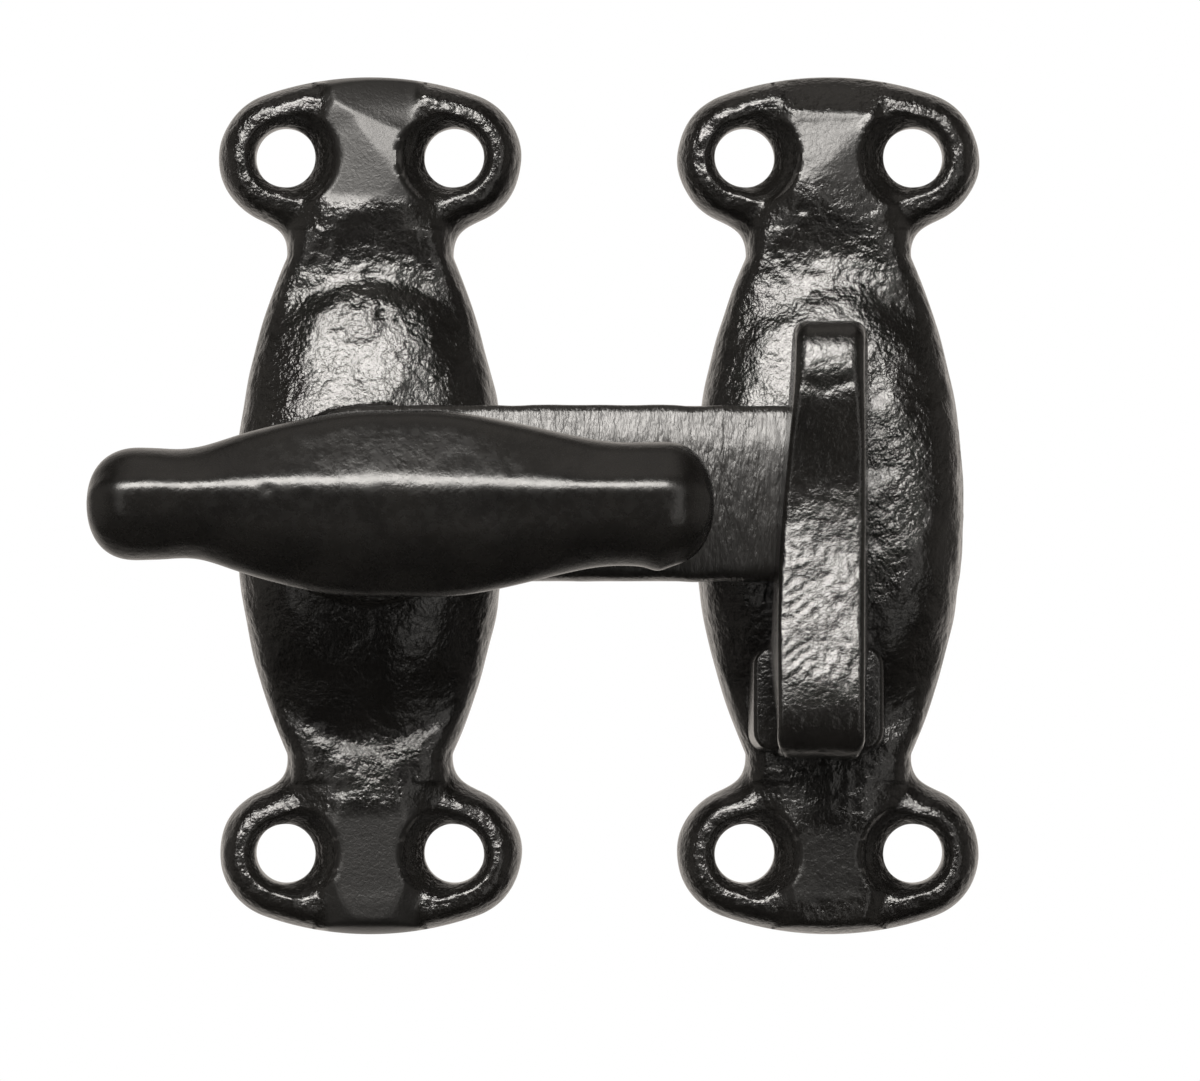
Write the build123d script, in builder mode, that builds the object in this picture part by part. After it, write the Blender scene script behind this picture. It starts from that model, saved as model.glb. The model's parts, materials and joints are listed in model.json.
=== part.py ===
"""Cupboard latch with a T handle and a hook keeper, in black malleable iron.

The latch half is a domed plate with a boss. A T handle turns a spindle in the boss, and the spindle
carries a flat latch arm in front of the plate. A conical spring washer, a flat washer and a peened
head hold the spindle from behind. The keeper half is a matching plate with a hook riveted into it,
and the arm drops behind the hook.

The frame: the origin is on the spindle axis, at the centre of the latch plate's four screw holes, on
the plane that both plates are screwed to. +X runs along the arm to the keeper, +Z is up and the front
faces -Y. Depths are measured from the mounting plane, towards the front. Sizes are in millimetres.
"""

import os
from math import sqrt

from build123d import *

# ---- Plates: both castings share one pattern ----
plate_height = 64.2
wing_width = 22.6  # across the two lobes that hold a row of screws
body_width = 20.2
waist_width = 12.4
waist_inset = 13.5  # from the plate's end to its waist
waist_fillet = 1.6
screw_inset = 6.1  # from the plate's end to the middle of its screws
lobe_radius = 5.0  # each lobe is round about its own screw
lobe_thickness = 3.8
lobe_edge_radius = 1.3
panel_width = 6.6  # raised panel between two screws
panel_crest = 5.3  # depth of the panel where it is highest
panel_end = 2.9  # depth of the panel at the plate's end
body_crest = 8.2  # depth of the body at its middle
body_fall = 3.0  # how far the body's front drops from its middle to the waist
body_draft = 14.0  # degrees that the body's sides lean inwards
body_edge_radius = 2.0
wall = 3.2  # metal left round the hollow back
front_wall = 3.8  # metal left in front of the latch plate's hollow
seat_wall = 2.0  # metal left under the hook
keeper_distance = 34.3  # from the spindle to the keeper's middle

# ---- Screw holes ----
screw_hole_diameter = 4.5
screw_dish_diameter = 7.4
screw_dish_angle = 90.0

# ---- Spindle and what it carries ----
boss_diameter = 16.4
boss_rise = 0.4  # the boss's face stands this far in front of the body's crest
journal_diameter = 6.0
running_clearance = 0.06  # between the journal and the plate's bore, on the radius
washer_clearance = 0.1  # between the journal and each washer, on the radius
square_side = 6.0  # drives the arm and fills the handle's socket
square_engagement = 6.8  # length of the square inside the handle
square_chamfer = 0.5
face_gap = 0.1  # between turning faces and the plate
thrust_thickness = 0.7
thrust_diameter = 12.0
spring_thickness = 0.5
spring_rise = 0.3  # height of the spring washer's cone
spring_rim = 3.4  # width of the spring washer
spring_room = 0.3  # between the spring washer's edge and the sides of the hollow
washer_thickness = 0.7
washer_rim = 2.6  # width of the flat washer
head_rim = 1.4  # the peened head stands out from the journal
head_thickness = 1.4

# ---- Latch arm ----
arm_height = 12.9
arm_rise = 0.85  # the arm's middle is this far above the spindle
arm_thickness = 3.5
arm_overhang = 1.7  # the arm's tip passes the keeper's middle by this much
arm_corner_radius = 2.2
arm_edge_radius = 0.6

# ---- T handle ----
grip_length = 44.6
grip_end_height = 8.4
grip_middle_height = 13.5
grip_swell = 0.72  # share of the grip's length that swells
grip_thickness = 8.0
grip_offset = 3.0  # the grip's middle lies this far towards the keeper
grip_edge_radius = 2.4
grip_corner_radius = 3.0
neck_length = 9.0  # from the arm to the back of the grip
neck_wall = 1.0  # metal left at the corners of the handle's socket
neck_flare = 1.1  # the neck widens by this much, on the radius, towards the grip

# ---- Hook keeper ----
hook_offset = -1.0  # the foot's middle, from the keeper's middle
seat_sink = 3.2  # the foot is let into the body, this far behind its crest
foot_width = 10.2
foot_height = 8.7
foot_draft = 8.0  # degrees that the hook's sides lean inwards
throat_drop = 4.3  # room between the arm's lower edge and the throat
tip_rise = 6.3  # the hook's tip stands this far above the arm's upper edge
tip_narrowing = 1.2  # the hook's left edge slopes in by this much at the tip
hook_gap = 0.7  # between the arm's face and the hook
hook_thickness = 4.3  # at the hook's waist
hook_swell = 2.2  # the lower front stands out from the waist by this much
lip_swell = 1.0  # the lip near the tip stands out from the waist by this much
throat_radius = 2.0
tenon_width = 5.6
tenon_height = 4.0
tenon_head_rim = 0.8
tenon_head_thickness = 1.0

# ---- Worked out from the sizes above ----
half_height = plate_height / 2
waist_z = half_height - waist_inset
body_edge = body_crest - body_fall
lobe_x = wing_width / 2 - lobe_radius
lobe_z = half_height - screw_inset
hollow_depth = body_crest - front_wall
seat_depth = body_crest - seat_sink
keeper_hollow_depth = seat_depth - seat_wall
boss_face = body_crest + boss_rise
thrust_back = boss_face + face_gap
arm_back = thrust_back + thrust_thickness
arm_front = arm_back + arm_thickness
arm_tip = keeper_distance + arm_overhang
grip_back = arm_front + neck_length
spring_back = hollow_depth - face_gap - spring_thickness - spring_rise
washer_back = spring_back - washer_thickness
journal_radius = journal_diameter / 2
spring_radius = journal_radius + washer_clearance + spring_rim


def front(depth, x=0.0):
    """The plane parallel to the mounting plane at this depth, looking out of the front."""
    return Plane((x, -depth, 0), x_dir=(1, 0, 0), z_dir=(0, -1, 0))


def side(x=0.0):
    """The upright plane across the plates at this x: its own x is +Z and its own y is depth."""
    return Plane((x, 0, 0), x_dir=(0, 0, 1), z_dir=(1, 0, 0))


def barrel_outline(half_width, half_end, half_length):
    """Draw two bulging sides and two straight ends."""
    ThreePointArc((half_end, -half_length), (half_width, 0), (half_end, half_length))
    Line((half_end, half_length), (-half_end, half_length))
    ThreePointArc((-half_end, half_length), (-half_width, 0), (-half_end, -half_length))
    Line((-half_end, -half_length), (half_end, -half_length))


# ---- The pattern that both plates are cast from ----
# The end's curve touches both lobes: its centre lies on the plate's middle line.
lobe_to_end = half_height - lobe_radius
end_z = (lobe_to_end**2 - lobe_z**2 - lobe_x**2) / (2 * (lobe_to_end - lobe_z))
end_radius = half_height - end_z
touch_x = lobe_x * end_radius / (end_radius - lobe_radius)
touch_z = end_z + (lobe_z - end_z) * end_radius / (end_radius - lobe_radius)
waist_low = waist_z - wall
waist_half = waist_width / 2
notch_z = lobe_z - sqrt(lobe_radius**2 - (lobe_x - waist_half) ** 2)

with BuildPart() as wings:
    with BuildSketch(Plane.XZ) as wing_outline:
        with BuildLine():
            Line((waist_half, waist_low), (waist_half, notch_z))
            ThreePointArc((waist_half, notch_z), (wing_width / 2, lobe_z), (touch_x, touch_z))
            ThreePointArc((touch_x, touch_z), (0, half_height), (-touch_x, touch_z))
            ThreePointArc((-touch_x, touch_z), (-wing_width / 2, lobe_z), (-waist_half, notch_z))
            Line((-waist_half, notch_z), (-waist_half, waist_low))
            Line((-waist_half, waist_low), (waist_half, waist_low))
        make_face()
        notches = wing_outline.vertices().filter_by_position(Axis.Y, notch_z - 0.01, notch_z + 0.01)
        fillet(notches, waist_fillet)
    extrude(amount=lobe_thickness)
    fillet(wings.faces().sort_by(Axis.Y)[0].edges(), lobe_edge_radius)
    # The raised panel between the two screws.
    with BuildSketch(side()):
        with BuildLine():
            panel_top = half_height - lobe_edge_radius
            Polyline(
                (waist_low, 0),
                (waist_low, body_edge),
                ((notch_z + lobe_z) / 2, panel_crest),
                (panel_top, panel_end),
                (panel_top, 0),
                close=True,
            )
        make_face()
    extrude(amount=panel_width / 2, both=True)
    mirror(about=Plane.XY)

with BuildPart() as body:
    with BuildSketch(Plane.XZ):
        with BuildLine():
            barrel_outline(body_width / 2, waist_width / 2, waist_z)
        make_face()
    extrude(amount=body_crest + 1, taper=body_draft)
    with BuildSketch(side()):
        with BuildLine():
            ThreePointArc((-waist_z, body_edge), (0, body_crest), (waist_z, body_edge))
            Polyline((waist_z, body_edge), (waist_z, 0), (-waist_z, 0), (-waist_z, body_edge))
        make_face()
    extrude(amount=body_width, both=True, mode=Mode.INTERSECT)
    fillet(body.faces().sort_by(Axis.Y)[0].edges(), body_edge_radius)

with BuildPart() as plate_pattern:
    add(wings.part)
    add(body.part)
    with Locations(front(lobe_thickness)):
        with GridLocations(2 * lobe_x, 2 * lobe_z, 2, 2):
            CounterSinkHole(
                screw_hole_diameter / 2, screw_dish_diameter / 2, counter_sink_angle=screw_dish_angle
            )

with BuildSketch(Plane.XZ) as hollow:
    with BuildLine():
        barrel_outline(body_width / 2 - wall, waist_width / 2 - wall, waist_z - wall)
    make_face()

# ---- Latch plate ----
with BuildPart() as latch_plate:
    add(plate_pattern.part)
    extrude(hollow.sketch, amount=hollow_depth, mode=Mode.SUBTRACT)
    with BuildSketch(Plane.XZ):
        Circle(spring_radius + spring_room)
    extrude(amount=hollow_depth, mode=Mode.SUBTRACT)
    with BuildSketch(front(hollow_depth)):
        Circle(boss_diameter / 2)
    extrude(amount=boss_face - hollow_depth)
    with BuildSketch(Plane.XZ):
        Circle(journal_radius + running_clearance)
    extrude(amount=boss_face, mode=Mode.SUBTRACT)
latch_plate.part.label = "latch_plate"

# ---- Spindle: square in front, round through the plate, peened behind ----
with BuildPart() as spindle:
    with BuildSketch(front(arm_back)):
        Rectangle(square_side, square_side)
    extrude(amount=arm_thickness + square_engagement)
    chamfer(spindle.faces().sort_by(Axis.Y)[0].edges(), square_chamfer)
    with BuildSketch(front(washer_back)):
        Circle(journal_radius)
    extrude(amount=arm_back - washer_back)
    with BuildSketch(front(washer_back - head_thickness)):
        Circle(journal_radius + head_rim)
    extrude(amount=head_thickness)
    fillet(spindle.faces().sort_by(Axis.Y)[-1].edges(), head_thickness * 0.6)
spindle.part.label = "spindle"

# ---- Thrust washer between the boss and the arm ----
with BuildPart() as thrust_washer:
    with BuildSketch(front(thrust_back)):
        Circle(thrust_diameter / 2)
        Circle(journal_radius + washer_clearance, mode=Mode.SUBTRACT)
    extrude(amount=thrust_thickness)
thrust_washer.part.label = "thrust_washer"

# ---- Latch arm ----
with BuildPart() as latch_arm:
    with BuildSketch(front(arm_back)) as arm_outline:
        with Locations((arm_tip / 2, arm_rise)):
            Rectangle(arm_tip, arm_height)
        with Locations((0, arm_rise)):
            Circle(arm_height / 2)
        fillet(arm_outline.vertices().group_by(Axis.X)[-1], arm_corner_radius)
    extrude(amount=arm_thickness)
    fillet(latch_arm.faces().sort_by(Axis.Y)[0].edges(), arm_edge_radius)
    with BuildSketch(front(arm_back)):
        Rectangle(square_side, square_side)
    extrude(amount=arm_thickness, mode=Mode.SUBTRACT)
latch_arm.part.label = "latch_arm"

# ---- T handle ----
swell_half = grip_swell * grip_length / 2
swell_start = grip_end_height / 2 - grip_edge_radius / 10
neck_base_radius = square_side / sqrt(2) + neck_wall
with BuildPart() as t_handle:
    with BuildSketch(front(grip_back, grip_offset)):
        RectangleRounded(grip_length, grip_end_height, grip_corner_radius)
        with BuildLine():
            barrel_top = grip_middle_height / 2
            ThreePointArc((-swell_half, swell_start), (0, barrel_top), (swell_half, swell_start))
            Line((swell_half, swell_start), (swell_half, -swell_start))
            ThreePointArc((swell_half, -swell_start), (0, -barrel_top), (-swell_half, -swell_start))
            Line((-swell_half, -swell_start), (-swell_half, swell_start))
        make_face()
    extrude(amount=grip_thickness)
    fillet(t_handle.faces().sort_by(Axis.Y)[0].edges(), grip_edge_radius)
    # The neck leans from the spindle to the middle of the grip.
    with BuildSketch(front(arm_front)):
        Circle(neck_base_radius)
    with BuildSketch(front(grip_back + grip_edge_radius, grip_offset)):
        Circle(neck_base_radius + neck_flare)
    loft()
    with BuildSketch(front(arm_front)):
        Rectangle(square_side, square_side)
    extrude(amount=square_engagement, mode=Mode.SUBTRACT)
t_handle.part.label = "t_handle"

# ---- Washers behind the plate ----
with BuildPart() as spring_washer:
    with BuildSketch(Plane.XY):
        with BuildLine():
            inner = journal_radius + washer_clearance
            spring_front = spring_back + spring_rise + spring_thickness
            Polyline(
                (inner, -spring_back),
                (inner, -(spring_back + spring_thickness)),
                (spring_radius, -spring_front),
                (spring_radius, -(spring_front - spring_thickness)),
                close=True,
            )
        make_face()
    revolve(axis=Axis.Y)
spring_washer.part.label = "spring_washer"

with BuildPart() as back_washer:
    with BuildSketch(front(washer_back)):
        Circle(journal_radius + washer_clearance + washer_rim)
        Circle(journal_radius + washer_clearance, mode=Mode.SUBTRACT)
    extrude(amount=washer_thickness)
back_washer.part.label = "back_washer"

# ---- Hook keeper ----
hook_x = keeper_distance + hook_offset
throat_z = arm_rise - arm_height / 2 - throat_drop
foot_bottom = throat_z - foot_height
tip_z = arm_rise + arm_height / 2 + tip_rise
tenon_z = throat_z - foot_height / 2
hook_back = arm_front + hook_gap
hook_front = hook_back + hook_thickness
hook_lip = hook_front + lip_swell
hook_low = hook_front + hook_swell
with BuildPart() as hook_keeper:
    # Front view at the seat: the right edge is straight and the left edge slopes in to the tip.
    with BuildSketch(front(seat_depth, hook_x)):
        with BuildLine():
            Polyline(
                (foot_width / 2, foot_bottom),
                (foot_width / 2, tip_z + foot_width),
                (tip_narrowing - foot_width / 2, tip_z + foot_width),
                (tip_narrowing - foot_width / 2, tip_z),
                (-foot_width / 2, throat_z),
                (-foot_width / 2, foot_bottom),
                close=True,
            )
        make_face()
    extrude(amount=hook_low - seat_depth + 1, taper=foot_draft)
    # Side view: out from the foot, up the front, over the tip and down into the throat.
    with BuildSketch(side(hook_x)):
        with BuildLine():
            Polyline(
                (throat_z, seat_depth),
                (foot_bottom, seat_depth),
                (foot_bottom, hook_low - 3.4),
            )
            ThreePointArc(
                (foot_bottom, hook_low - 3.4),
                (foot_bottom + 1.4, hook_low - 0.9),
                (foot_bottom + 4.2, hook_low),
            )
            Line((foot_bottom + 4.2, hook_low), (-1.0, hook_front + 0.2))
            ThreePointArc((-1.0, hook_front + 0.2), (3.2, hook_front + 0.1), (tip_z - 5.4, hook_lip))
            ThreePointArc((tip_z - 5.4, hook_lip), (tip_z - 1.4, hook_lip - 1.0), (tip_z, hook_back + 2.0))
            ThreePointArc((tip_z, hook_back + 2.0), (tip_z - 5.0, hook_back + 0.6), (1.0, hook_back))
            Line((1.0, hook_back), (throat_z + throat_radius, hook_back))
            RadiusArc(
                (throat_z + throat_radius, hook_back), (throat_z, hook_back - throat_radius), -throat_radius
            )
            Line((throat_z, hook_back - throat_radius), (throat_z, seat_depth))
        make_face()
    extrude(amount=foot_width, both=True, mode=Mode.INTERSECT)
    # The tenon passes through the plate and is peened over behind it.
    with BuildSketch(front(keeper_hollow_depth - tenon_head_thickness, hook_x)):
        with Locations((0, tenon_z)):
            Rectangle(tenon_width, tenon_height)
    extrude(amount=seat_depth - keeper_hollow_depth + tenon_head_thickness)
    with BuildSketch(front(keeper_hollow_depth - tenon_head_thickness, hook_x)):
        with Locations((0, tenon_z)):
            Rectangle(tenon_width + 2 * tenon_head_rim, tenon_height + 2 * tenon_head_rim)
    extrude(amount=tenon_head_thickness)
hook_keeper.part.label = "hook_keeper"

# ---- Keeper plate: the hook is let into its front and riveted through ----
with BuildPart() as keeper_plate:
    with Locations((keeper_distance, 0, 0)):
        add(plate_pattern.part)
        add(extrude(hollow.sketch, amount=keeper_hollow_depth, mode=Mode.PRIVATE), mode=Mode.SUBTRACT)
    add(hook_keeper.part, mode=Mode.SUBTRACT)
    with BuildSketch(front(0, hook_x)):
        with Locations((0, tenon_z)):
            Rectangle(tenon_width + 2 * tenon_head_rim, tenon_height + 2 * tenon_head_rim)
    extrude(amount=keeper_hollow_depth, mode=Mode.SUBTRACT)
keeper_plate.part.label = "keeper_plate"

os.makedirs("parts", exist_ok=True)
for piece in (
    latch_plate,
    keeper_plate,
    spindle,
    thrust_washer,
    latch_arm,
    t_handle,
    spring_washer,
    back_washer,
    hook_keeper,
):
    export_step(piece.part, f"parts/{piece.part.label}.step")
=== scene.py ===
import json
from math import cos, exp, hypot, pi, radians, sin, sqrt

import bmesh
import bpy
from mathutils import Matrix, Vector, noise


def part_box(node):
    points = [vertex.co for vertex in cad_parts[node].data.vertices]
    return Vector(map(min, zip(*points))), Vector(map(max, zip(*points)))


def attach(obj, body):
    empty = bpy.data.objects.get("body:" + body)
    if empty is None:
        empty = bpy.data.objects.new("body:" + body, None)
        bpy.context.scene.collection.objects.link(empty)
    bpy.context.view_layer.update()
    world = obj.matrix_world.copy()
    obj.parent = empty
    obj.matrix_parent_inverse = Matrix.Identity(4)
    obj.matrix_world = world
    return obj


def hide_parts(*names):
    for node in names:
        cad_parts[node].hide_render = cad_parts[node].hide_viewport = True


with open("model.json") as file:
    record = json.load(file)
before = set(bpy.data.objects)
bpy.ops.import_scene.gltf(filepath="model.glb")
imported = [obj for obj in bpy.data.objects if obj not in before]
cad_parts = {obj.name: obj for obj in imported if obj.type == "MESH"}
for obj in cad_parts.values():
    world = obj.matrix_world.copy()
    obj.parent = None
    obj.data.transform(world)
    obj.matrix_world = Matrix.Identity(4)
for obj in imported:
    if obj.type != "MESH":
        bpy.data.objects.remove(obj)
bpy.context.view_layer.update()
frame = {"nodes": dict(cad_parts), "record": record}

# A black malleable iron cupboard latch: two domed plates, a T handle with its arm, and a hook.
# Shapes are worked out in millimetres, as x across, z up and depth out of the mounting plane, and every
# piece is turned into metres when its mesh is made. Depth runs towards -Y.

MM = 0.001
mounts = {mount["name"]: mount for mount in frame["record"]["mounts"]}


def span(node):
    """The CAD node's lowest and highest x, lowest and highest depth, lowest and highest z, in mm."""
    low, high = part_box(node)
    return low.x / MM, high.x / MM, -high.y / MM, -low.y / MM, low.z / MM, high.z / MM


# ---- Small shaping functions ----
def ease(start, end, value):
    """0 before start, 1 after end, and smooth between."""
    share = min(max((value - start) / (end - start), 0.0), 1.0)
    return share * share * (3 - 2 * share)


def smooth_max(a, b, blend):
    """The larger of two heights, with a fillet about as wide as blend where they meet."""
    overlap = max(blend - abs(a - b), 0.0) / blend
    return max(a, b) + overlap * overlap * blend / 4


def smooth_min(a, b, blend):
    """The smaller of two heights, with the same fillet."""
    return -smooth_max(-a, -b, blend)


def along_stations(stations, value):
    """A smooth curve through (place, height) stations, read at a place between them."""
    last = len(stations) - 2
    index = 0
    while index < last and stations[index + 1][0] < value:
        index += 1
    before = stations[max(index - 1, 0)]
    start = stations[index]
    end = stations[index + 1]
    after = stations[min(index + 2, last + 1)]
    length = end[0] - start[0]
    t = min(max((value - start[0]) / length, 0.0), 1.0)
    slope_in = (end[1] - before[1]) / (end[0] - before[0]) * length
    slope_out = (after[1] - start[1]) / (after[0] - start[0]) * length
    rise = start[1] * (2 * t**3 - 3 * t * t + 1) + end[1] * (3 * t * t - 2 * t**3)
    return rise + slope_in * (t**3 - 2 * t * t + t) + slope_out * (t**3 - t * t)


def hump(distance, width):
    """1 at distance 0, falling away over the width."""
    return exp(-((distance / width) ** 2))


# ---- Mesh helpers ----
weld_distance = 0.002  # mm; points of a skin nearer than this are one point


def face_outward(bm):
    """Turn every face of a closed mesh outwards."""
    bmesh.ops.recalc_face_normals(bm, faces=bm.faces)


def into_scene(name, bm):
    """Put a bmesh into the scene as an object, and free it."""
    mesh = bpy.data.meshes.new(name)
    bm.to_mesh(mesh)
    bm.free()
    thing = bpy.data.objects.new(name, mesh)
    bpy.context.scene.collection.objects.link(thing)
    return thing


def finish_mesh(bm, node, material, body, crease=50):
    """Turn a bmesh in mm (x, depth, z) into the piece that stands in for a CAD node on its body.

    Edges that turn by more than the crease, in degrees, stay sharp."""
    for vert in bm.verts:
        x, depth, z = vert.co
        vert.co = (x * MM, -depth * MM, z * MM)
    face_outward(bm)
    piece = into_scene(node, bm)
    mesh = piece.data
    mesh.shade_smooth()
    mesh.set_sharp_from_angle(angle=radians(crease))
    mesh.materials.append(material)
    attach(piece, body)
    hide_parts(node)


def skin(columns, rows, place, shade=""):
    """A sheet of points, each moved to where place(u, v) says, with u and v from -1 to 1.

    With shade given, place also returns a value that is kept on the point under that name."""
    bm = bmesh.new()
    bmesh.ops.create_grid(bm, x_segments=columns, y_segments=rows, size=1)
    layer = bm.verts.layers.float.new(shade) if shade else None
    for vert in bm.verts:
        placed = place(vert.co.x, vert.co.y)
        if shade:
            placed, vert[layer] = placed
        vert.co = placed
    bmesh.ops.remove_doubles(bm, verts=bm.verts, dist=weld_distance)
    return bm


def close_up(bm, border=0.0):
    """Fill every open edge loop with a flat face, with a narrow border inside it if asked for."""
    rim = [edge for edge in bm.edges if edge.is_boundary]
    filled = bmesh.ops.holes_fill(bm, edges=rim, sides=0)["faces"]
    if border:
        bmesh.ops.inset_region(bm, faces=filled, thickness=border, use_boundary=True)
    bmesh.ops.triangulate(bm, faces=filled)


def combine(base, tools, operation):
    """A base with other closed meshes fused to it (UNION) or taken from it (DIFFERENCE)."""
    for tool in tools:
        face_outward(tool)
    target, *others = [into_scene("scratch", bm) for bm in (base, *tools)]
    for other in others:
        modifier = target.modifiers.new("combine", "BOOLEAN")
        modifier.operation = operation
        modifier.solver = "EXACT"
        modifier.object = other
    graph = bpy.context.evaluated_depsgraph_get()
    graph.update()
    result = bmesh.new()
    result.from_mesh(target.evaluated_get(graph).to_mesh())
    for used in (target, *others):
        used_mesh = used.data
        bpy.data.objects.remove(used)
        bpy.data.meshes.remove(used_mesh)
    return result


def cut(bm, *cutters):
    """Take closed meshes away from a mesh."""
    return combine(bm, cutters, "DIFFERENCE")


def join(first, second):
    """Fuse two closed meshes into one."""
    face_outward(first)
    return combine(first, [second], "UNION")


def round_edges(bm, edges, reach, segments):
    """Round these edges over, this many mm to each side."""
    bmesh.ops.bevel(
        bm, geom=edges, offset=reach, segments=segments, profile=0.5, affect="EDGES", material=-1
    )


def post(x, z, radius, back, front):
    """A round post along the depth, as a cutter."""
    sides = 72
    bm = bmesh.new()
    bmesh.ops.create_cone(
        bm, cap_ends=True, segments=sides, radius1=radius, radius2=radius, depth=front - back
    )
    for vert in bm.verts:
        across, up, along = vert.co
        vert.co = (x + across, (front + back) / 2 - along, z + up)
    return bm


def block(x, z, width, height, back, front, cuts=0):
    """A box, as a cutter or as a part of a piece, with each edge cut up if asked for."""
    bm = bmesh.new()
    bmesh.ops.create_cube(bm, size=1)
    if cuts:
        bmesh.ops.subdivide_edges(bm, edges=bm.edges, cuts=cuts, use_grid_fill=True)
    for vert in bm.verts:
        across, along, up = vert.co
        vert.co = (x + across * width, (front + back) / 2 + along * (front - back), z + up * height)
    return bm


# ---- Materials ----
def node_tree(name):
    """A new material, with its nodes, its links and its shader."""
    material = bpy.data.materials.new(name)
    material.use_nodes = True
    nodes = material.node_tree.nodes
    links = material.node_tree.links
    shader = nodes["Principled BSDF"]
    return material, nodes, links, shader


def place_pattern(nodes, links, stretch=(1, 1, 1)):
    """Object coordinates, stretched, so that a pattern keeps its real size on the piece."""
    coordinates = nodes.new("ShaderNodeTexCoord")
    mapping = nodes.new("ShaderNodeMapping")
    mapping.inputs["Scale"].default_value = stretch
    links.new(coordinates.outputs["Object"], mapping.inputs["Vector"])
    return mapping.outputs["Vector"]


def feed(links, socket, value):
    """Give a socket a number, or another node's output."""
    if isinstance(value, float):
        socket.default_value = value
    else:
        links.new(value, socket)


def noise_field(nodes, links, vector, per_metre, detail, roughness=0.55, distortion=0.0):
    """Cloudy noise from 0 to 1 with this many swings in a metre."""
    field = nodes.new("ShaderNodeTexNoise")
    field.inputs["Scale"].default_value = per_metre
    field.inputs["Detail"].default_value = detail
    field.inputs["Roughness"].default_value = roughness
    field.inputs["Distortion"].default_value = distortion
    links.new(vector, field.inputs["Vector"])
    return field.outputs["Fac"]


def spread(nodes, links, source, low, high, start=0.3, end=0.7):
    """Map a pattern's range to low..high."""
    scale = nodes.new("ShaderNodeMapRange")
    scale.inputs["From Min"].default_value = start
    scale.inputs["From Max"].default_value = end
    scale.inputs["To Min"].default_value = low
    scale.inputs["To Max"].default_value = high
    links.new(source, scale.inputs["Value"])
    return scale.outputs["Result"]


def relief(nodes, links, height, distance, strength, under=None):
    """Surface relief this many mm deep, laid over the relief under it."""
    bump = nodes.new("ShaderNodeBump")
    bump.inputs["Distance"].default_value = distance * MM
    feed(links, bump.inputs["Strength"], strength)
    links.new(height, bump.inputs["Height"])
    if under is not None:
        links.new(under, bump.inputs["Normal"])
    return bump.outputs["Normal"]


def sum_node(nodes, links, operation, *values):
    """The outcome of one sum on numbers and other nodes' outputs."""
    result = nodes.new("ShaderNodeMath")
    result.operation = operation
    for socket, value in zip(result.inputs, values):
        feed(links, socket, value)
    return result.outputs[0]


def pebbles(nodes, links, vector, per_metre):
    """Height of rounded swellings of many sizes, with creases between them."""
    crease_share = 0.55
    cells = nodes.new("ShaderNodeTexVoronoi")
    cells.inputs["Scale"].default_value = per_metre
    cells.inputs["Detail"].default_value = 1.6
    cells.inputs["Roughness"].default_value = 0.6
    links.new(vector, cells.inputs["Vector"])
    swelling = noise_field(nodes, links, vector, 0.7 * per_metre, 3, distortion=0.3)
    crease = sum_node(nodes, links, "MULTIPLY", cells.outputs["Distance"], crease_share)
    return sum_node(nodes, links, "SUBTRACT", swelling, crease)


def mix_values(nodes, links, share, first, second):
    """The first value where share is 0, the second where it is 1."""
    mix = nodes.new("ShaderNodeMix")
    mix.data_type = "FLOAT"
    links.new(share, mix.inputs[0])
    feed(links, mix.inputs[2], first)
    feed(links, mix.inputs[3], second)
    return mix.outputs[0]


def lacquer(name, dark, light, gloss, crinkle, stretch=(1, 1, 1), coat=0.2):
    """Black lacquer: dark and light set its colour, gloss its roughness, crinkle its relief.

    Where the piece's satin attribute is 1 the surface has been rubbed flat and is duller. The
    numbers given to the patterns are how many times they repeat in a metre."""
    satin_roughness = 0.44
    satin_height = 0.2
    material, nodes, links, shader = node_tree(name)
    vector = place_pattern(nodes, links, stretch)
    satin = nodes.new("ShaderNodeAttribute")
    satin.attribute_name = "satin"
    cloud = noise_field(nodes, links, vector, 260, detail=3)
    ramp = nodes.new("ShaderNodeValToRGB")
    ramp.color_ramp.elements[0].position = 0.35
    ramp.color_ramp.elements[0].color = (*dark, 1)
    ramp.color_ramp.elements[1].position = 0.7
    ramp.color_ramp.elements[1].color = (*light, 1)
    links.new(cloud, ramp.inputs["Fac"])
    links.new(ramp.outputs["Color"], shader.inputs["Base Color"])
    grain = spread(nodes, links, noise_field(nodes, links, vector, 1500, detail=4), *gloss)
    roughness = mix_values(nodes, links, satin.outputs["Fac"], grain, satin_roughness)
    links.new(roughness, shader.inputs["Roughness"])
    shader.inputs["IOR"].default_value = 1.52
    shader.inputs["Coat Weight"].default_value = coat
    shader.inputs["Coat Roughness"].default_value = 0.16
    coarse, fine = crinkle
    bumps = pebbles(nodes, links, vector, 1800)
    bumps = mix_values(nodes, links, satin.outputs["Fac"], bumps, satin_height)
    patches = noise_field(nodes, links, vector, 240, detail=2)
    uneven = spread(nodes, links, patches, 0.45 * coarse, 1.45 * coarse, 0.35, 0.62)
    grit = noise_field(nodes, links, vector, 3600, detail=3, roughness=0.6, distortion=0.6)
    surface = relief(nodes, links, bumps, 0.2, uneven)
    surface = relief(nodes, links, grit, 0.09, fine, surface)
    links.new(surface, shader.inputs["Normal"])
    return material


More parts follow.
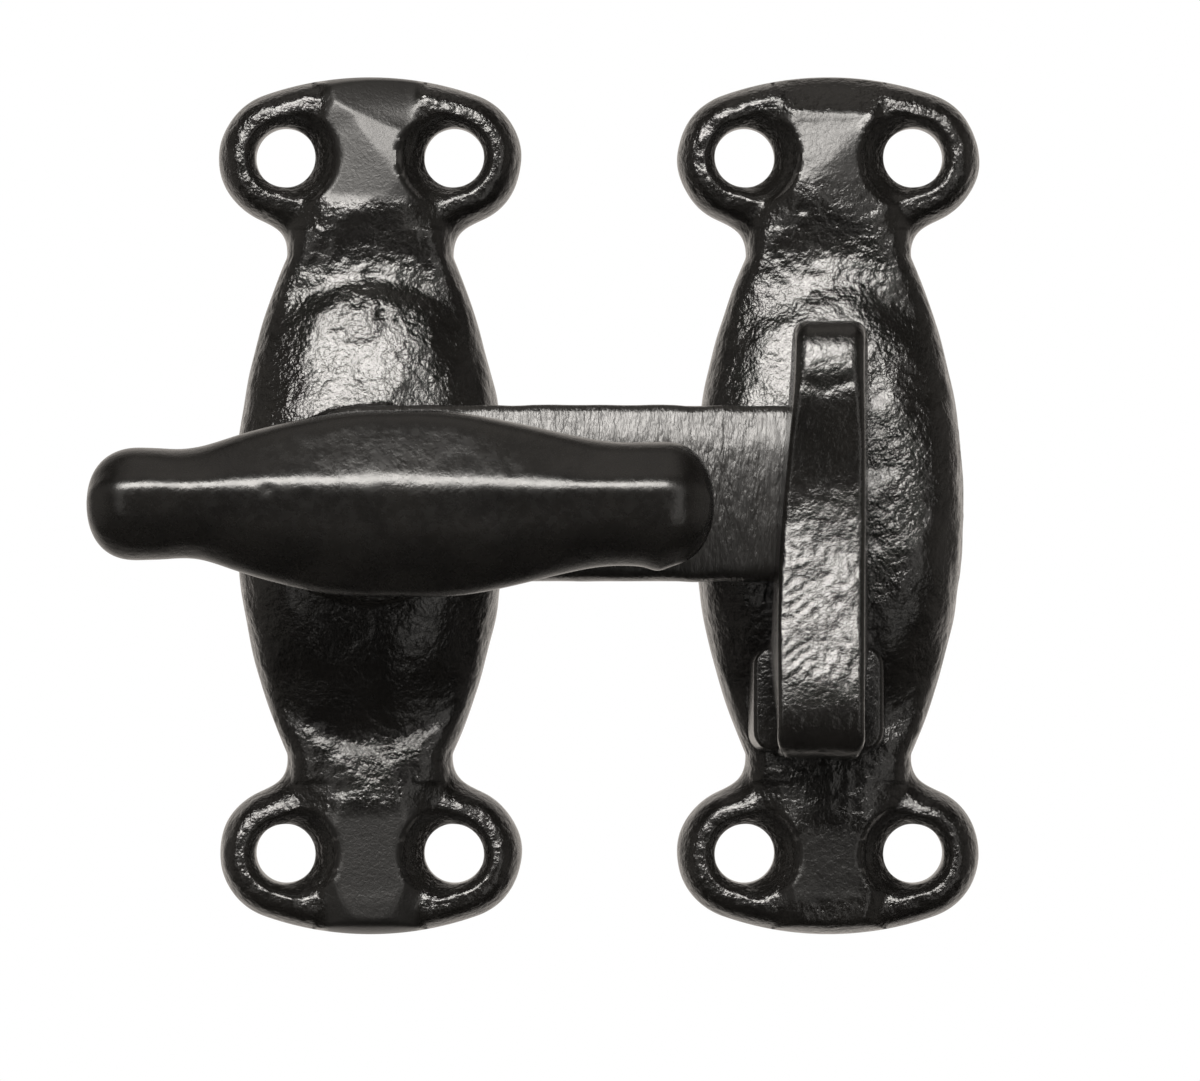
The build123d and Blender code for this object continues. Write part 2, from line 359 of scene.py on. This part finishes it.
def steel(name, tint, gloss, per_metre):
    """Turned or sheared steel with fine tool marks and patches of oil."""
    material, nodes, links, shader = node_tree(name)
    vector = place_pattern(nodes, links, (1, 0.2, 1))
    marks = noise_field(nodes, links, vector, per_metre, detail=4)
    patches = noise_field(nodes, links, vector, 300, detail=3)
    ramp = nodes.new("ShaderNodeValToRGB")
    ramp.color_ramp.elements[0].color = (*[0.55 * part for part in tint], 1)
    ramp.color_ramp.elements[1].color = (*tint, 1)
    links.new(patches, ramp.inputs["Fac"])
    links.new(ramp.outputs["Color"], shader.inputs["Base Color"])
    links.new(spread(nodes, links, marks, *gloss), shader.inputs["Roughness"])
    shader.inputs["Metallic"].default_value = 1.0
    links.new(relief(nodes, links, marks, 0.04, 0.3), shader.inputs["Normal"])
    return material


body_tone = ((0.0042, 0.0039, 0.0036), (0.0068, 0.0063, 0.0057))
casting_black = lacquer("casting_black", *body_tone, (0.16, 0.28), (0.42, 0.4))
hook_black = lacquer("hook_black", *body_tone, (0.17, 0.27), (0.14, 0.4))
handle_black = lacquer("handle_black", *body_tone, (0.23, 0.31), (0.07, 0.16), coat=0.05)
arm_tone = ((0.006, 0.0056, 0.0052), (0.009, 0.0083, 0.0076))
arm_black = lacquer("arm_black", *arm_tone, (0.27, 0.38), (0.42, 0.4), (1.5, 1, 0.4))
bright_steel = steel("bright_steel", (0.42, 0.41, 0.39), (0.28, 0.45), 2400)
spring_steel = steel("spring_steel", (0.16, 0.16, 0.17), (0.25, 0.4), 1800)

# ---- The plates' pattern ----
left, right, _, boss_face, _, half_height = span("latch_plate")
keeper_left, keeper_right, *_ = span("keeper_plate")
keeper_x = (keeper_left + keeper_right) / 2
half_width = (right - left) / 2
screws = mounts["latch_screws"]["dims"]
lobe_x = screws["spacing_x_mm"] / 2
lobe_z = screws["spacing_y_mm"] / 2
hole_radius = screws["hole_r_mm"]
lobe_radius = half_width - lobe_x
waist_from_end = 13.5
waist_z = half_height - waist_from_end
waist_half = 6.2
body_half = 10.1
lobe_depth = 3.8
hollow_wall = 3.2
eyelet_crest = 3.05  # distance of each eyelet's crest from its screw's middle
eyelet_foot = 3.45  # and of the foot of its outer side from there
end_z = ((half_height - lobe_radius) ** 2 - lobe_z**2 - lobe_x**2) / (
    2 * (half_height - lobe_radius - lobe_z)
)
end_radius = half_height - end_z
barrel_radius = (waist_z**2 + (body_half - waist_half) ** 2) / (2 * (body_half - waist_half))


def barrel(z):
    """Half-width of the body at this height, and of the waist beyond it."""
    if abs(z) >= waist_z:
        return waist_half
    return sqrt(barrel_radius**2 - z * z) - barrel_radius + body_half


def inset(x, z):
    """How far a point lies inside the plate's outline."""
    across, up = abs(x), abs(z)
    under_end = up > lobe_z and across * (lobe_z - end_z) < lobe_x * (up - end_z)
    if under_end:
        return end_radius - hypot(across, up - end_z)
    wing = lobe_radius - hypot(max(across - lobe_x, 0.0), up - lobe_z)
    if up > lobe_z:
        return wing
    return smooth_max(wing, barrel(z) - across, 2.2)


def outline(z):
    """Half-width of the whole plate at this height."""
    inside, outside = 0.0, half_width + 1
    for _ in range(26):
        middle = (inside + outside) / 2
        if inset(middle, z) > 0:
            inside = middle
        else:
            outside = middle
    return inside


def rolled(distance, radius, power=2):
    """The rise of a rounded edge: 0 at the rim and 1 at this radius in from it.

    A higher power makes the edge rise sooner and lie flatter on top."""
    share = min(max(distance, 0.0) / radius, 1.0)
    return sqrt(1 - (1 - share) ** power)


def plate_depth(x, z, style):
    """Depth of the casting's front at a point of its outline."""
    across, up = abs(x), abs(z)
    edge = inset(x, z)
    away = hypot(across - lobe_x, up - lobe_z)
    # The eyelets round the screws, rounded over at their rims and sinking towards their holes.
    inward = ease(-0.2, 0.6, (lobe_x - across) / max(away, 0.1))
    sink = (1.5 - 0.75 * inward) * max(eyelet_crest + 0.85 * inward - away, 0.0) ** 1.7
    roll = 2.0 + 3.0 * ease(4.4, 2.6, across)
    depth = lobe_depth * rolled(edge, roll, power=3) - sink
    # The spine, from one end of the plate over the domed body to the other end.
    arch = 0.06 * across * across * ease(0, 10, up) * ease(21, 18, up)
    crest = along_stations(style["spine"], z + (arch if z > 0 else -arch))
    width = barrel(z)
    if up >= waist_z:
        width = waist_half - 0.9 * ease(waist_z, 24, up) - 1.1 * ease(25, 29, up)
    share = min(across / width, 1.0)
    fullness = style["fullness"](x) - 1.2 * ease(8, 16, up)
    fullness = fullness + 0.6 * ease(22, 25, up) - 1.2 * ease(27, 30, up)
    shoulder = (1 - share**fullness) ** (1 / 2.1)
    wall = 2.0 * rolled(edge, 0.9) if up < waist_z + 2 else 1.0
    body = wall + (crest - wall) * shoulder
    # Flat faces ground on the spine near the ends, and the steep side of it next to each eyelet.
    if up > 19:
        panel = min(body, style["facets"](x, z))
        panel = smooth_min(panel, 5.4 * rolled(edge, 2.4), 0.6)
        panel = smooth_min(panel, 2.2 + 4.5 * (away - eyelet_foot), 0.7)
        body += (panel - body) * ease(19, 23, up)
    return smooth_max(depth, body, 0.7 + 1.3 * ease(23.5, 19, up) + 0.8 * ease(27.5, 30, up))


def casting_texture(x, z, style, flat):
    """Height of the casting's lumps and wrinkles."""
    spot = Vector((x, z, style["seed"]))
    lumps = 0.22 * noise.noise(spot * 0.2) + 0.11 * noise.noise(spot * 0.5)
    folds = noise.noise(Vector((x * 0.8, z * 0.9, style["seed"] + 4)))
    folds = 0.05 * (1 - 2 * abs(folds)) + 0.02 * noise.noise(spot * 2.0)
    return (lumps + folds) * (1 - 0.9 * flat)


def latch_facets(x, z):
    """Three faces ground on the upper panel, and one on the lower."""
    if z < 0:
        return 4.75 + 0.05 * (z + 26) - 0.02 * x
    main = 5.1 + 0.176 * (x - 0.3) - 0.07 * (z - 26)
    slanted = main - 0.273 * (0.816 * (x + 1.5) + 0.579 * (z - 29.5))
    upper = slanted - 0.42 * (0.368 * (x + 1.5) + 0.93 * (z - 29.5))
    return smooth_min(smooth_min(main, slanted, 0.05), upper, 0.1)


def keeper_facets(x, z):
    """A bright ground face on the upper panel with two duller ones beside it, and one on the lower."""
    if z < 0:
        return 4.8 + 0.08 * (z + 26)
    main = 5.2 - 0.20 * (z - 25)
    lower = main - 0.25 * (0.66 * (x - 2.1) - 0.75 * (z - 27.3))
    upper = main - 1.0 * (z - 29.3)
    return smooth_min(smooth_min(main, lower, 0.15), upper, 0.3)


def plate(name, middle, style, body, extra_cutters):
    """A whole plate casting: its front is shaped point by point, then holes and the back are cut."""

    def place(u, v):
        z = half_height * sin(v * pi / 2)
        reach = outline(z) if abs(v) < 1 else 0.0
        ragged_edge = 1 + 0.014 * noise.noise(Vector((3 * u, z * 0.3, style["seed"] + 7)))
        x = reach * sin(u * pi / 2)
        if abs(u) > 0.9999 or abs(v) > 0.9999:
            return (x * ragged_edge + middle, 0.0, z), 0.0
        edge = inset(x, z)
        from_screw = hypot(abs(x) - lobe_x, abs(z) - lobe_z)
        flat = style["flat"](x, z) * ease(eyelet_foot + 0.2, eyelet_foot + 0.7, from_screw)
        depth = plate_depth(x, z, style)
        depth += casting_texture(x, z, style, flat) * ease(0.0, 1.6, edge)
        for pit_x, pit_z, pit_radius in style["pits"]:
            depth -= 0.2 * hump(hypot(x - pit_x, z - pit_z), pit_radius)
        # The boss is turned flat, and stands proud of the body.
        away = hypot(x, z)
        if style["boss"] and away < 11:
            ragged = 7.1 + 0.2 * noise.noise(Vector((x * 0.4, z * 0.4, 9)))
            boss = boss_face - 0.02 - 3.0 * max(away - ragged, 0)
            depth = min(smooth_max(depth, boss, 0.5), boss_face)
        spot = Vector((x, z, depth + style["seed"]))
        knocks = 0.12 * noise.noise(spot * 0.45) + 0.06 * (1 - 2 * abs(noise.noise(spot * 1.1)))
        knocks *= ease(0.45, 0.8, abs(u)) * ease(1.6, 3.0, depth)
        x += (abs(u) ** 6 * (ragged_edge - 1) * reach - knocks) * (1 if u > 0 else -1)
        return (x + middle, max(depth, 0.02), z), flat

    bm = skin(plate_columns, plate_rows, place, shade="satin")
    close_up(bm)
    cutters = [
        post(middle + side * lobe_x, end * lobe_z, hole_radius, -1, 8)
        for side in (-1, 1)
        for end in (-1, 1)
    ]
    bm = cut(bm, *cutters, *extra_cutters)
    finish_mesh(bm, name, casting_black, body, crease=55)


def hollow_cutter(middle, depth):
    """The barrel-shaped hollow in a plate's back."""
    bm = block(0, 0, 2, 2 * (waist_z - hollow_wall), -1, depth, cuts=15)
    for vert in bm.verts:
        vert.co.x = middle + vert.co.x * (barrel(vert.co.z) - hollow_wall)
    return bm


def latch_flat(x, z):
    """1 where the latch plate is ground flat, 0 elsewhere."""
    return ease(3.7, 3.1, abs(x - 0.2)) * ease(22.0, 23.4, abs(z))


def keeper_flat(x, z):
    """The same for the keeper's plate, which is ground less."""
    near_end = ease(23.2, 25.2, abs(z)) * ease(29.7, 29, abs(z))
    return 0.7 * ease(3.5, 2.4, abs(x + 0.6)) * near_end


spring_front = span("spring_washer")[3]
spring_room = 0.1
latch_hollow = spring_front + spring_room
bore_radius = 3.06
plate_columns, plate_rows = ((120, 430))
# A style's spine is (z, depth) stations, and its pits are (x, z, radius).
latch_style = {
    "seed": 11.3,
    "spine": [
        (-32.1, 4.2), (-29, 5.0), (-24, 5.1), (-20.5, 4.85), (-18.7, 4.75), (-17.4, 4.45), (-15.5, 5.3),
        (-12, 6.8), (-8, 7.7), (-4, 8.1), (0, 8.2), (4, 8.05), (8, 7.55), (12, 6.6), (14.2, 6.0),
        (15.4, 5.55), (16.8, 4.5), (17.8, 4.2), (18.6, 4.15), (19.4, 4.35), (20.7, 4.95), (22.6, 5.5),
        (26, 5.7), (29, 5.4), (32.1, 4.3),
    ],
    "fullness": lambda x: 4.0,
    "facets": latch_facets,
    "flat": latch_flat,
    "pits": [(-0.75, 15.0, 0.25), (1.0, 14.2, 0.28), (-3.2, 31.2, 0.4)],
    "boss": True,
}
keeper_style = {
    "seed": 47.9,
    "spine": [
        (-32.1, 4.2), (-29, 5.0), (-24, 5.1), (-21, 4.9), (-18.8, 4.8), (-17.2, 4.6), (-15.5, 5.2),
        (-12, 7.0), (-9, 7.9), (-6, 8.2), (-3, 8.15), (0, 8.0), (4, 7.65), (8, 7.1), (12, 6.25), (14, 5.75),
        (16.2, 4.7), (17.8, 4.22), (18.8, 4.12), (19.8, 4.35), (21.5, 5.0), (23, 5.3), (26, 5.4), (29, 5.1),
        (32.1, 4.2),
    ],
    "fullness": lambda x: 4.4 + 1.4 * ease(0, 2, x),
    "facets": keeper_facets,
    "flat": keeper_flat,
    "pits": [(-2.0, 22.0, 0.4)],
    "boss": False,
}
plate(
    "latch_plate",
    0.0,
    latch_style,
    "latch_base",
    [hollow_cutter(0.0, latch_hollow), post(0, 0, bore_radius, -1, 12)],
)
hook_left, hook_right, _, _, hook_bottom, hook_top = span("hook_keeper")
hook_x = (hook_left + hook_right) / 2
keeper_hollow = 3.0
tenon_width, tenon_height = 5.6, 4.0
head_overhang = 1.6
tenon_z = hook_bottom + 4.35
seat = 5.0
seat_pocket = 6.8
plate(
    "keeper_plate",
    keeper_x,
    keeper_style,
    "keeper",
    [
        hollow_cutter(keeper_x, keeper_hollow),
        block(
            hook_x, tenon_z, tenon_width + head_overhang, tenon_height + head_overhang, -1, keeper_hollow
        ),
        block(hook_x, tenon_z, tenon_width, tenon_height, keeper_hollow - 0.1, seat + 0.1),
        block(hook_x, tenon_z, seat_pocket, seat_pocket, seat, 12),
    ],
)


# ---- Sections for pieces that are skinned along a line ----
def rounded_loop(corners, steps=6):
    """A closed loop through rounded corners, each given as (first, second, reach of its rounding)."""
    points = []
    count = len(corners)
    for index, (a, b, reach) in enumerate(corners):
        corner = Vector((a, b))
        before = Vector(corners[index - 1][:2]) - corner
        after = Vector(corners[(index + 1) % count][:2]) - corner
        start = corner + before * min(reach / max(before.length, 1e-6), 0.5)
        end = corner + after * min(reach / max(after.length, 1e-6), 0.5)
        for step in range(steps + 1):
            t = step / steps
            points.append(start * (1 - t) ** 2 + corner * 2 * t * (1 - t) + end * t * t)
    return points


def even_loop(points, count):
    """The same closed loop with evenly spaced points."""
    lengths = [0.0]
    for index in range(len(points)):
        lengths.append(lengths[-1] + (points[(index + 1) % len(points)] - points[index]).length)
    spaced, place_in = [], 0
    for index in range(count):
        target = lengths[-1] * index / count
        while lengths[place_in + 1] < target:
            place_in += 1
        share = (target - lengths[place_in]) / max(lengths[place_in + 1] - lengths[place_in], 1e-9)
        spaced.append(points[place_in].lerp(points[(place_in + 1) % len(points)], share))
    return spaced


# ---- T handle ----
grip_left, grip_right, arm_front, grip_front, _, _ = span("t_handle")
grip_x = (grip_left + grip_right) / 2
grip_half = (grip_right - grip_left) / 2
grip_thickness = 8.0
grip_back = grip_front - grip_thickness
grip_end = 3.8  # length over which the grip's ends round off
square_side = 6.0
square_end = span("spindle")[3]


def grip_section(x):
    """The grip's outline at this distance from its middle, as (z, depth)."""
    swell = max(1 - (abs(x) / 16.5) ** 2.4, 0.0) ** 2
    end_height = 4.1 + 0.4 * ease(8, 20, x)
    up = end_height + (6.75 - end_height) * swell - 0.2 * hump(x + 15, 2.5)
    down = end_height + (6.75 - end_height) * swell - 0.35 * hump(x + 14.3, 2.2) + 0.3 * hump(x - 18.3, 0.8)
    ridge = 1.5
    shoulder = grip_back + 4.9 + 0.35 * swell
    corners = [
        (up * 0.55, grip_back, 1.4),
        (up, grip_back + 1.7, 1.4),
        (up * 0.985, shoulder, 1.5),
        (ridge, grip_front - 0.1, 0.9),
        (-down * 0.5, grip_front - 0.7, 1.8),
        (-down, grip_back + 4.1, 1.8),
        (-down * 0.97, grip_back + 1.8, 1.4),
        (-down * 0.55, grip_back, 1.4),
    ]
    return rounded_loop(corners)


def grip():
    """The bar that the hand turns, with rounded ends and a few small dents."""
    around, along = ((150, 300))
    centre = Vector((0.0, (grip_back + grip_front) / 2))
    sections = []
    for row in range(along):
        v = 2 * row / (along - 1) - 1
        x = grip_half * sin(v * pi / 2)
        loop = even_loop(grip_section(x), around - 1)
        past = max(abs(x) - (grip_half - grip_end), 0.0) / grip_end
        shrink = (1 - min(past, 1.0) ** 2.4) ** (1 / 2.3)
        sections.append((x, [centre.lerp(point, shrink) for point in loop]))

    dents = [  # x, z, radius, depth of each small dent in the front
        (-9.3, 1.0, 0.5, 0.10), (-11.8, -0.9, 0.9, 0.06), (-1.6, -2.2, 1.2, 0.08),
        (1.9, -2.8, 0.8, 0.07), (7.2, -1.0, 1.4, 0.07), (8.0, 2.4, 0.5, 0.06), (-5.2, -4.6, 1.1, 0.07),
    ]

    def place(u, v):
        x, loop = sections[round((v + 1) / 2 * (along - 1))]
        z, depth = loop[round((u + 1) / 2 * (around - 1)) % (around - 1)]
        spot = Vector((x, z, depth))
        depth += 0.08 * noise.noise(spot * 0.25) + 0.03 * noise.noise(spot * 0.8)
        z += 0.10 * noise.noise(spot * 0.22 + Vector((5, 1, 2)))
        if depth > grip_back + 4:
            for dent_x, dent_z, radius, sunk in dents:
                depth -= sunk * hump(hypot(x - dent_x, z - dent_z), radius)
        return x + grip_x, depth, z

    return skin(around - 1, along - 1, place)


def neck():
    """From the arm to the back of the grip, leaning with it and flaring where it joins."""
    around, along = 64, 40
    base_radius, top_radius = 5.25, 6.2
    end = grip_back + 2.2

    def place(u, v):
        t = (v + 1) / 2
        depth = arm_front + (end - arm_front) * t
        flare = ease(0.55, 1.0, t)
        radius = base_radius + (top_radius - base_radius) * t + 1.3 * flare**2
        wide = radius * (1 + 0.35 * flare)
        tall = min(radius, 6.1)
        turn = u * pi
        edge = 0.35 * max(1 - t * 14, 0) ** 2
        lean = grip_x * ease(0.0, 1.0, t)
        return lean + (wide - edge) * cos(turn), depth, (tall - edge) * sin(turn)

    bm = skin(around, along, place)
    close_up(bm)
    return bm


handle_mesh = join(grip(), neck())
handle_mesh = cut(handle_mesh, block(0, 0, square_side, square_side, arm_front - 1, square_end))
finish_mesh(handle_mesh, "t_handle", handle_black, "turning_handle")

# ---- Latch arm ----
arm_left, arm_tip, arm_back, _, arm_low, arm_high = span("latch_arm")
arm_z = (arm_low + arm_high) / 2
arm_half = (arm_high - arm_low) / 2
tip_corner = 2.4


def arm_half_at(x):
    """Half the arm's height at this place, rounded at the spindle and at the tip's corners."""
    if x < 0:
        return sqrt(max(arm_half**2 - x * x, 0.0))
    past = max(x - (arm_tip - tip_corner), 0.0) / tip_corner
    return arm_half - tip_corner * (1 - sqrt(max(1 - min(past, 1) ** 2, 0.0)))


def arm():
    """The flat bar. Its front slopes back to the upper edge and carries upright file marks."""
    around, along = ((140, 300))
    crown = 0.8
    sections = []
    for row in range(along):
        v = 2 * row / (along - 1) - 1
        x = (arm_left + arm_tip) / 2 + (arm_tip - arm_left) / 2 * sin(v * pi / 2)
        half = max(arm_half_at(x), 0.02)
        edge = min(0.9, half * 0.45)
        corners = [
            (half, arm_back, 0.25),
            (half, arm_front - crown - 0.3, edge * 0.5),
            (half * 0.94, arm_front - crown, 0.3),
            (half * 0.5, arm_front - 0.3 * crown, 2.0),
            (-half * 0.1, arm_front, 3.0),
            (-half * 0.93, arm_front - 0.15, 0.8),
            (-half, arm_front - crown - 0.5, edge * 0.6),
            (-half, arm_back, 0.25),
        ]
        sections.append((x, even_loop(rounded_loop(corners, 5), around - 1)))

    def place(u, v):
        x, loop = sections[round((v + 1) / 2 * (along - 1))]
        z, depth = loop[round((u + 1) / 2 * (around - 1)) % (around - 1)]
        inside = ease(arm_back, arm_back + 1.5, depth)
        if abs(v) > 0.9999:
            z, depth = 0.0, arm_back + (arm_front - arm_back) / 2
        spot = Vector((x * 0.9, z * 0.18, 2.0))
        marks = inside * 0.05 * abs(noise.noise(spot * 1.3)) + inside * 0.03 * noise.noise(spot * 3.1)
        depth -= marks
        depth -= inside * 0.10 * (noise.noise(Vector((x * 0.15, z * 0.2, 8))) + 0.5)
        z += 0.12 * noise.noise(Vector((x * 0.4, depth * 0.3, 1.0))) * ease(0, 3, abs(z)) * inside
        return x, depth, z + arm_z

    return skin(around - 1, along - 1, place)


arm_mesh = cut(arm(), block(0, 0, square_side, square_side, arm_back - 1, arm_front + 1))
finish_mesh(arm_mesh, "latch_arm", arm_black, "turning_handle")

# ---- Hook ----
room_below_arm = 4.3
room_before_arm = 0.7
prong_thickness = 4.3
throat_z = arm_low - room_below_arm
prong_back = arm_front + room_before_arm
prong_front = prong_back + prong_thickness
low_front = prong_front + 2.2
lip_front = prong_front + 1.0


def hook_profile():
    """Side view of the hook as (z, depth), with its corners rounded."""
    corners = [
        (throat_z, seat, 0.1),
        (hook_bottom, seat, 0.1),
        (hook_bottom + 0.2, low_front - 1.9, 2.6),
        (hook_bottom + 2.4, low_front + 0.1, 2.2),
        (hook_bottom + 6.0, low_front - 0.1, 3.0),
        (1.0, prong_front - 0.35, 5.0),
        (hook_top - 5.2, lip_front + 0.35, 3.2),
        (hook_top - 0.9, lip_front - 0.5, 1.8),
        (hook_top, prong_back + 2.2, 1.3),
        (hook_top - 1.2, prong_back + 0.8, 1.0),
        (hook_top - 6.5, prong_back + 0.1, 3.0),
        (throat_z, prong_back + 0.1, 3.0),
    ]
    return rounded_loop(corners, 7)


def half_widths(z, depth):
    """How far the hook reaches to its left and right at a point of its side view."""
    out = max(depth - seat, 0.0)
    corner = 1.1 * (1 - rolled(z - hook_bottom, 1.6))
    left_edge = 3.95 - 0.045 * out - 1.4 * ease(throat_z, hook_top, z) - corner
    right_edge = 4.05 - 0.072 * out - corner
    return left_edge, right_edge


def hook():
    """The hook: its side view carried across its width, with rounded rims and tool marks."""
    mark_pitch = 0.72
    around, across = ((300, 46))
    loop = even_loop(hook_profile(), around - 1)
    count = len(loop)
    normals = []
    for index in range(count):
        along = loop[(index + 1) % count] - loop[index - 1]
        normal = Vector((along.y, -along.x)).normalized()
        normals.append(normal)
    area = sum(
        loop[i].x * loop[(i + 1) % count].y - loop[(i + 1) % count].x * loop[i].y for i in range(count)
    )
    outward = 1 if area > 0 else -1

    def place(u, v):
        index = round((u + 1) / 2 * (around - 1)) % (around - 1)
        point = loop[index]
        z, depth = point
        left_edge, right_edge = half_widths(z, depth)
        reach = right_edge if v > 0 else left_edge
        x = reach * v
        # Round over the two rims, more so towards the tip.
        rim = 0.5 + 0.6 * ease(4, 11, z)
        into = reach * (1 - abs(v))
        tuck = rim * (1 - rolled(into, rim)) * 0.8
        soften = ease(seat + 0.2, seat + 2.0, depth)
        normal = normals[index] * outward
        spot = Vector((x, z, depth))
        rough = 0.09 * noise.noise(spot * 0.35) + 0.035 * (1 - 2 * abs(noise.noise(spot * 1.2)))
        rough += 0.02 * noise.noise(spot * 2.6)
        # Tool marks that rise to the right across the lower front.
        marks = sin(2 * pi * (z - 0.55 * x + 0.5 * noise.noise(spot * 0.6)) / mark_pitch)
        marks *= ease(0.2, -1.6, x) * ease(throat_z - 4.5, throat_z - 1.6, z)
        marks *= ease(throat_z + 7.6, throat_z + 5.4, z)
        marks *= ease(prong_front - 0.5, prong_front + 0.8, depth)
        # A shallow dent across the front, under the tip.
        dent = 0.12 * hump(z - (hook_top - 5.2) - 0.25 * abs(x), 0.45)
        dent *= ease(prong_front - 0.2, prong_front + 0.4, depth)
        shift = (rough + 0.035 * marks - dent) * soften - tuck * soften
        z += normal.x * shift
        depth += normal.y * shift
        return hook_x + x, depth, z

    bm = skin(around - 1, across, place)
    close_up(bm, border=0.12)
    return bm


def foot():
    """The wider foot that the hook rises from, with rounded corners and edges."""
    front = seat + 3.9
    low, high = hook_bottom + 0.25, throat_z - 0.2
    bm = block(hook_x, (low + high) / 2, hook_right - hook_left, high - low, seat, front)
    uprights = [edge for edge in bm.edges if abs(edge.verts[0].co.y - edge.verts[1].co.y) > 1]
    round_edges(bm, uprights, 1.5, segments=6)
    for vert in bm.verts:
        if vert.co.y > front - 0.1:
            vert.co.x += 0.3 * (hook_x - vert.co.x) / (hook_right - hook_x)
            vert.co.z += 0.25 * (1 if vert.co.z < tenon_z else -1)
    front_edges = [edge for edge in bm.edges if all(v.co.y > front - 0.1 for v in edge.verts)]
    round_edges(bm, front_edges, 0.4, segments=4)
    return bm


def tenon():
    """The tenon behind the hook's foot, with its peened head."""
    head_width = tenon_width + head_overhang
    head_height = tenon_height + head_overhang
    head = block(hook_x, tenon_z, head_width, head_height, keeper_hollow - 1.0, keeper_hollow)
    back_edges = [edge for edge in head.edges if all(v.co.y < keeper_hollow - 0.9 for v in edge.verts)]
    round_edges(head, back_edges, 0.45, segments=3)
    shank = block(hook_x, tenon_z, tenon_width, tenon_height, keeper_hollow - 0.1, seat + 0.3)
    return join(shank, head)


hook_mesh = join(join(hook(), foot()), tenon())
finish_mesh(hook_mesh, "hook_keeper", hook_black, "keeper")

# ---- Washers and spindle keep their CAD shapes ----
for node, finish in (
    ("spindle", bright_steel),
    ("thrust_washer", bright_steel),
    ("back_washer", bright_steel),
    ("spring_washer", spring_steel),
):
    part = frame["nodes"][node]
    part.data.materials.clear()
    part.data.materials.append(finish)

# ---- Floor, light and camera ----
floor_disc = bmesh.new()
bmesh.ops.create_circle(floor_disc, cap_ends=True, segments=96, radius=0.5)
floor = into_scene("floor", floor_disc)
floor.location.z = -0.12
floor_material, _, _, floor_shader = node_tree("floor_paper")
floor_shader.inputs["Base Color"].default_value = (0.86, 0.86, 0.85, 1)
floor_shader.inputs["Roughness"].default_value = 0.9
floor.data.materials.append(floor_material)
floor.visible_glossy = False
floor.visible_shadow = False

lit_point = Vector((keeper_x / 2 * MM, 0, 0))


def softbox(name, azimuth, elevation, distance, width, height, power):
    """A rectangular soft light that faces the latch, in degrees, metres and watts."""
    light = bpy.data.lights.new(name, "AREA")
    light.shape = "RECTANGLE"
    light.size = width
    light.size_y = height
    light.energy = power
    light.color = (1.0, 0.965, 0.92)
    lamp = bpy.data.objects.new(name, light)
    a, e = radians(azimuth), radians(elevation)
    away = Vector((sin(a) * cos(e), -cos(a) * cos(e), sin(e)))
    lamp.location = lit_point + away * distance
    lamp.rotation_mode = "QUATERNION"
    lamp.rotation_quaternion = away.to_track_quat("Z", "Y")
    bpy.context.scene.collection.objects.link(lamp)


softbox("key_softbox", -12, 30, 1.0, 0.72, 0.42, 19)
softbox("left_strip", -30, -2, 1.0, 0.22, 0.8, 0.6)
softbox("right_strip", 27, -4, 1.0, 0.3, 1.2, 1.3)

world = bpy.data.worlds.new("studio")
bpy.context.scene.world = world
world.use_nodes = True
nodes, links = world.node_tree.nodes, world.node_tree.links
background = nodes["Background"]
ray = nodes.new("ShaderNodeLightPath")
direction = nodes.new("ShaderNodeTexCoord")
axes = nodes.new("ShaderNodeSeparateXYZ")
links.new(direction.outputs["Generated"], axes.inputs["Vector"])
# The room is bright behind the latch, and dimmer above and beside it. The camera sees it all white.
behind = spread(nodes, links, axes.outputs["Y"], 0.010, 0.85, 0.45, 0.9)
above = spread(nodes, links, axes.outputs["Z"], 0.0, 0.5, 0.86, 1.0)
sideways = sum_node(nodes, links, "ABSOLUTE", axes.outputs["X"])
beside = spread(nodes, links, sideways, 0.0, 0.28, 0.72, 1.0)
room = sum_node(nodes, links, "MAXIMUM", beside, above)
room = sum_node(nodes, links, "MAXIMUM", behind, room)
tint = nodes.new("ShaderNodeMix")
tint.data_type = "RGBA"
links.new(ray.outputs["Is Camera Ray"], tint.inputs[0])
tint.inputs[6].default_value = (1.0, 0.93, 0.86, 1)
tint.inputs[7].default_value = (1, 1, 1, 1)
links.new(tint.outputs[2], background.inputs["Color"])
strength = mix_values(nodes, links, ray.outputs["Is Camera Ray"], room, 1.0)
links.new(strength, background.inputs["Strength"])
bpy.context.scene.view_settings.view_transform = "Standard"

camera_data = bpy.data.cameras.new("camera")
camera_data.lens = 200
camera_data.sensor_width = 36
camera = bpy.data.objects.new("camera", camera_data)
camera.location = (0.0172, -0.5, -0.0026)
camera.rotation_euler = (radians(90), 0, 0)
bpy.context.scene.collection.objects.link(camera)
bpy.context.scene.camera = camera
